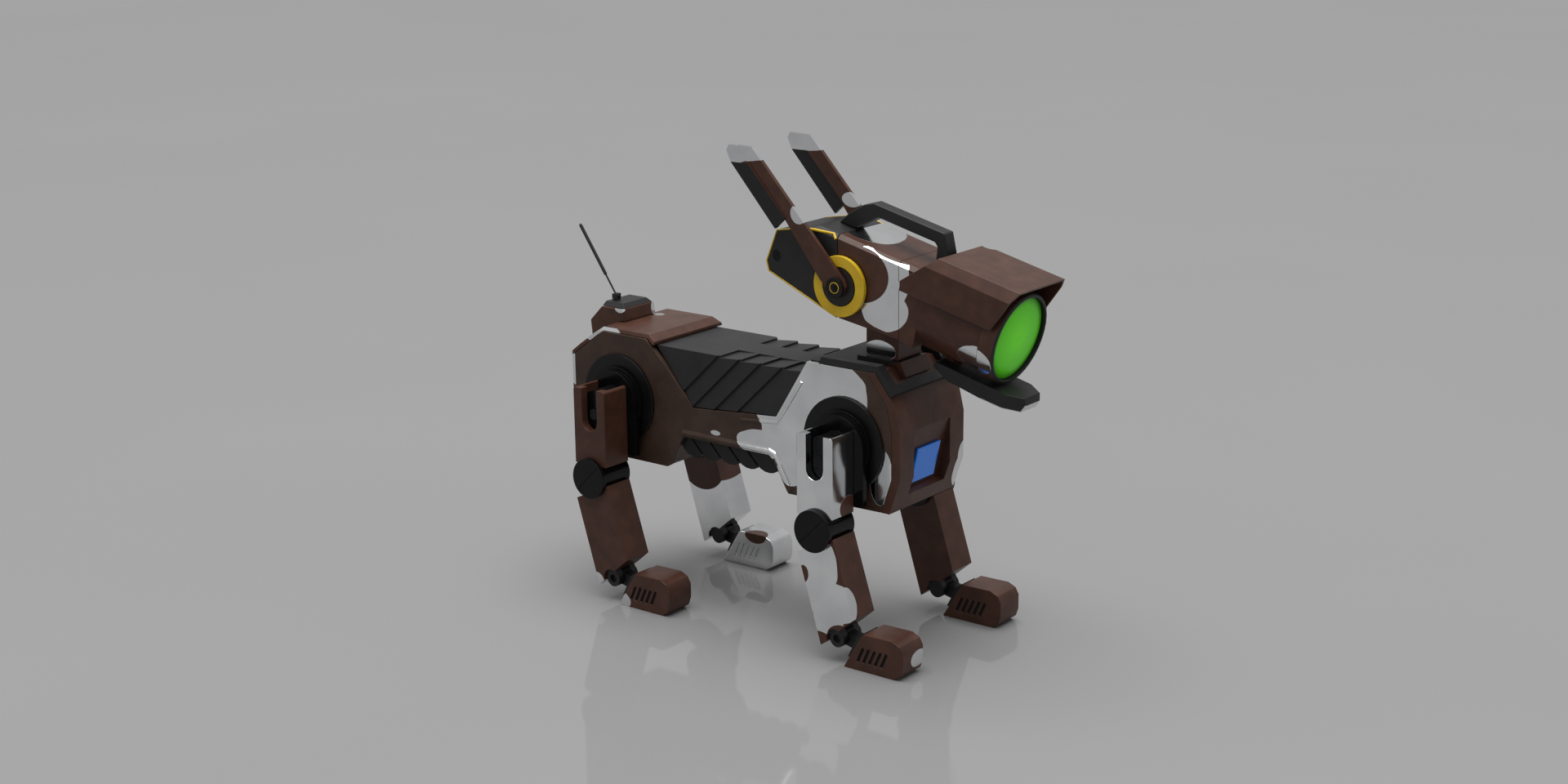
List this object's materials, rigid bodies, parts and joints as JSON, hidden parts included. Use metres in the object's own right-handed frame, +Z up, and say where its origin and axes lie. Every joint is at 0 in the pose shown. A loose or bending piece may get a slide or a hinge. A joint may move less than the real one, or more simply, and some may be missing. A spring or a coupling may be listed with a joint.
{
  "type": "quadruped robot dog",
  "caption": "Standing robot dog with round camera snout, tilting ears, carry handle, jointed legs, armoured back and whip antenna.",
  "frame": {"origin": "on the floor, under the middle of the dog's overall length, on its centre plane", "axes": "+X the way the nose points, +Y the dog's left, +Z up"},
  "size_m": [0.5886, 0.224, 0.5021],
  "materials": {
    "shell_brown": "satin dark brown paint with irregular patches of polished white",
    "shell_white": "polished white",
    "black_trim": "satin black, finely textured",
    "black_rubber": "moulded black rubber",
    "black_gloss": "polished black",
    "motor_black": "black anodised",
    "ring_yellow": "satin yellow",
    "lens_green": "bright green, polished",
    "screen_blue": "blue screen glass",
    "frame_metal": "milled",
    "board_green": "solder mask",
    "battery_grey": "satin grey case"
  },
  "bodies": {
    "root": {"side_plate_right": "shell_brown", "side_plate_left": "shell_brown", "rear_cover": "shell_brown", "tail_block": "shell_brown", "tail_cap": "black_trim", "back_armour": "black_trim", "belly_bellows": "black_rubber", "chest_shell": "shell_brown", "chest_screen": "screen_blue", "shoulder_collar": "black_trim", "chassis": "frame_metal", "battery_pack": "battery_grey", "control_board": "board_green", "hip_motor_front_right": "motor_black", "hip_motor_front_left": "motor_black", "hip_motor_rear_right": "motor_black", "hip_motor_rear_left": "motor_black"},
    "upper_leg_front_right": {"hip_yoke_front_right": "black_gloss", "thigh_front_right": "shell_white"},
    "lower_leg_front_right": {"knee_barrel_front_right": "black_trim", "shank_front_right": "shell_brown", "ankle_fork_front_right": "black_trim"},
    "paw_front_right": {"ankle_link_front_right": "black_trim", "foot_front_right": "shell_brown"},
    "upper_leg_front_left": {"hip_yoke_front_left": "black_gloss", "thigh_front_left": "shell_brown"},
    "lower_leg_front_left": {"knee_barrel_front_left": "black_trim", "shank_front_left": "shell_brown", "ankle_fork_front_left": "black_trim"},
    "paw_front_left": {"ankle_link_front_left": "black_trim", "foot_front_left": "shell_brown"},
    "upper_leg_rear_right": {"hip_yoke_rear_right": "black_gloss", "thigh_rear_right": "shell_brown"},
    "lower_leg_rear_right": {"knee_barrel_rear_right": "black_trim", "shank_rear_right": "shell_brown", "ankle_fork_rear_right": "black_trim"},
    "paw_rear_right": {"ankle_link_rear_right": "black_trim", "foot_rear_right": "shell_brown"},
    "upper_leg_rear_left": {"hip_yoke_rear_left": "black_gloss", "thigh_rear_left": "shell_brown"},
    "lower_leg_rear_left": {"knee_barrel_rear_left": "black_trim", "shank_rear_left": "shell_brown", "ankle_fork_rear_left": "black_trim"},
    "paw_rear_left": {"ankle_link_rear_left": "black_trim", "foot_rear_left": "shell_brown"},
    "neck": {"neck_post": "shell_brown"},
    "head": {"head_shell": "shell_brown", "head_rear_housing": "black_trim", "ear_ring_right": "ring_yellow", "ear_ring_left": "ring_yellow", "carry_handle": "black_trim", "visor": "shell_brown", "snout_barrel": "shell_brown", "camera_module": "black_trim", "lens_bezel": "black_trim", "lens": "lens_green"},
    "ear_arm_right": {"ear_right": "shell_brown"},
    "ear_arm_left": {"ear_left": "shell_brown"},
    "lower_jaw": {"jaw": "black_trim"},
    "antenna": {"antenna_whip": "black_trim"}
  },
  "joints": [
    {"name": "hip_front_right", "type": "hinge", "parent": "root", "child": "upper_leg_front_right", "pos_m": [0.10117, -0.089, 0.214], "axis": [0, 1, 0], "range_deg": [-25, 25]},
    {"name": "knee_front_right", "type": "hinge", "parent": "upper_leg_front_right", "child": "lower_leg_front_right", "pos_m": [0.10117, -0.089, 0.136], "axis": [0, 1, 0], "range_deg": [-20, 40]},
    {"name": "ankle_front_right", "type": "hinge", "parent": "lower_leg_front_right", "child": "paw_front_right", "pos_m": [0.12617, -0.089, 0.026], "axis": [0, 1, 0], "range_deg": [-20, 25]},
    {"name": "hip_front_left", "type": "hinge", "parent": "root", "child": "upper_leg_front_left", "pos_m": [0.10117, 0.089, 0.214], "axis": [0, 1, 0], "range_deg": [-25, 25]},
    {"name": "knee_front_left", "type": "hinge", "parent": "upper_leg_front_left", "child": "lower_leg_front_left", "pos_m": [0.10117, 0.089, 0.136], "axis": [0, 1, 0], "range_deg": [-20, 40]},
    {"name": "ankle_front_left", "type": "hinge", "parent": "lower_leg_front_left", "child": "paw_front_left", "pos_m": [0.12617, 0.089, 0.026], "axis": [0, 1, 0], "range_deg": [-20, 25]},
    {"name": "hip_rear_right", "type": "hinge", "parent": "root", "child": "upper_leg_rear_right", "pos_m": [-0.19883, -0.089, 0.214], "axis": [0, 1, 0], "range_deg": [-25, 25]},
    {"name": "knee_rear_right", "type": "hinge", "parent": "upper_leg_rear_right", "child": "lower_leg_rear_right", "pos_m": [-0.19883, -0.089, 0.136], "axis": [0, 1, 0], "range_deg": [-20, 40]},
    {"name": "ankle_rear_right", "type": "hinge", "parent": "lower_leg_rear_right", "child": "paw_rear_right", "pos_m": [-0.17383, -0.089, 0.026], "axis": [0, 1, 0], "range_deg": [-20, 25]},
    {"name": "hip_rear_left", "type": "hinge", "parent": "root", "child": "upper_leg_rear_left", "pos_m": [-0.19883, 0.089, 0.214], "axis": [0, 1, 0], "range_deg": [-25, 25]},
    {"name": "knee_rear_left", "type": "hinge", "parent": "upper_leg_rear_left", "child": "lower_leg_rear_left", "pos_m": [-0.19883, 0.089, 0.136], "axis": [0, 1, 0], "range_deg": [-20, 40]},
    {"name": "ankle_rear_left", "type": "hinge", "parent": "lower_leg_rear_left", "child": "paw_rear_left", "pos_m": [-0.17383, 0.089, 0.026], "axis": [0, 1, 0], "range_deg": [-20, 25]},
    {"name": "neck_yaw", "type": "hinge", "parent": "root", "child": "neck", "pos_m": [0.12167, 0, 0.298], "axis": [0, 0, 1], "range_deg": [-40, 40]},
    {"name": "head_nod", "type": "hinge", "parent": "neck", "child": "head", "pos_m": [0.12167, 0, 0.345], "axis": [0, 1, 0], "range_deg": [-20, 7]},
    {"name": "ear_tilt_right", "type": "hinge", "parent": "head", "child": "ear_arm_right", "pos_m": [0.08667, -0.046, 0.371], "axis": [0, 1, 0], "range_deg": [-25, 35]},
    {"name": "ear_tilt_left", "type": "hinge", "parent": "head", "child": "ear_arm_left", "pos_m": [0.08667, 0.046, 0.371], "axis": [0, 1, 0], "range_deg": [-25, 35]},
    {"name": "jaw_hinge", "type": "hinge", "parent": "head", "child": "lower_jaw", "pos_m": [0.19077, 0, 0.3007], "axis": [0, 1, 0], "range_deg": [0, 18]},
    {"name": "antenna_tilt", "type": "hinge", "parent": "root", "child": "antenna", "pos_m": [-0.24233, -0.01, 0.313], "axis": [0, 1, 0], "range_deg": [-50, 30]}
  ]
}
